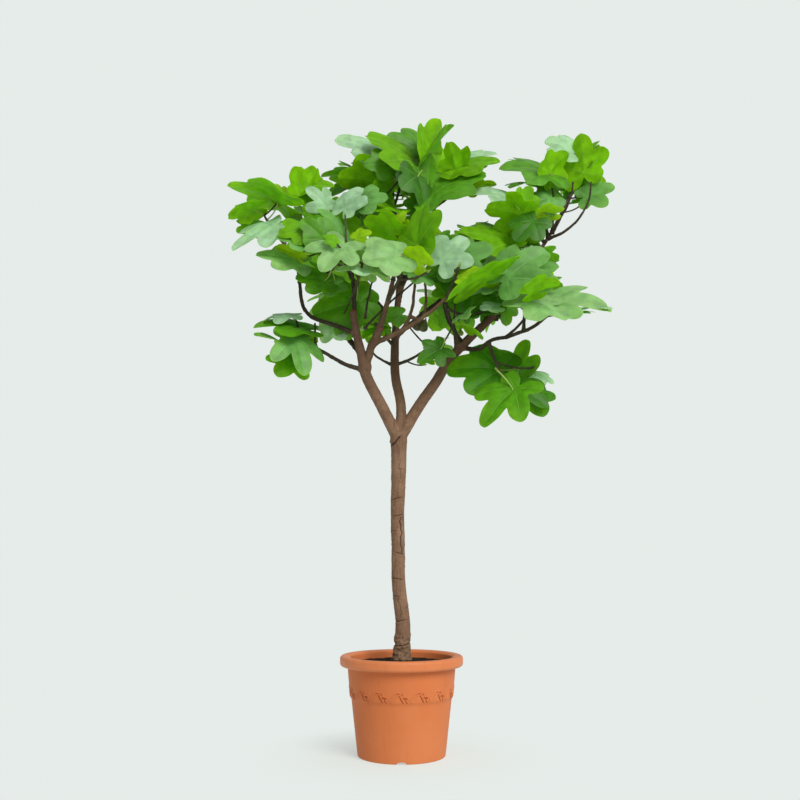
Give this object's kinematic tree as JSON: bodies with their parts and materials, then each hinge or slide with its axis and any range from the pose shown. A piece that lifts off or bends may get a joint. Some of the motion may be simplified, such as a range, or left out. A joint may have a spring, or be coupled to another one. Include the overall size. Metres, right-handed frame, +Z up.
{
  "type": "potted fig tree",
  "caption": "Fig tree on a single clear stem that forks into three boughs, with an open crown of lobed leaves, standing in a round rimmed pot.",
  "frame": {"origin": "centre of the flat underside of the pot, on the ground", "axes": "+Z up along the pot's axis; -Y towards the viewer, with the largest limb reaching out to +X"},
  "size_m": [1.2566, 0.946, 1.9356],
  "materials": {
    "pot": "matte moulded plastic, terracotta coloured",
    "soil": "dark, rough, moist compost",
    "bark": "rough grey-brown bark",
    "foliage": "soft satin leaves"
  },
  "bodies": {
    "root": {"pot": "pot", "soil": "soil", "trunk": "bark", "bough_left": "bark", "bough_middle": "bark", "bough_right": "bark", "limb_left_inner": "bark", "limb_left_cross": "bark", "limb_left_far": "bark", "limb_left_low": "bark", "limb_left_upright": "bark", "limb_left_back": "bark", "limb_middle_top": "bark", "limb_middle_right": "bark", "limb_middle_back_left": "bark", "limb_middle_back_right": "bark", "limb_middle_back": "bark", "limb_right_up": "bark", "limb_right_low": "bark", "limb_right_inner": "bark", "limb_right_back": "bark", "leaf_mass_left_tip": "foliage", "leaf_mass_left_low": "foliage", "leaf_mass_top_centre": "foliage", "leaf_mass_top_left": "foliage", "leaf_mass_top_right": "foliage", "leaf_mass_right_tip": "foliage", "leaf_mass_right_top": "foliage", "leaf_mass_right_low_tip": "foliage", "leaf_mass_right_hanging": "foliage", "leaf_mass_left_top": "foliage", "leaf_mass_right_upper": "foliage", "leaf_mass_inner_low": "foliage", "leaf_mass_left_front": "foliage", "leaf_mass_right_front": "foliage", "leaf_mass_centre_front": "foliage", "leaf_mass_centre_right": "foliage", "leaf_mass_left_centre": "foliage", "leaf_mass_right_inner": "foliage", "leaf_mass_right_mid": "foliage", "leaf_mass_centre": "foliage", "leaf_mass_right_centre": "foliage", "leaf_mass_left_inner": "foliage", "leaf_mass_back_left_top": "foliage", "leaf_mass_back_left": "foliage", "leaf_mass_back_left_low": "foliage", "leaf_mass_back_top": "foliage", "leaf_mass_back_centre": "foliage", "leaf_mass_back_right_top": "foliage", "leaf_mass_back_low": "foliage", "leaf_mass_back_right": "foliage", "leaf_mass_back_right_low": "foliage"}
  },
  "joints": []
}
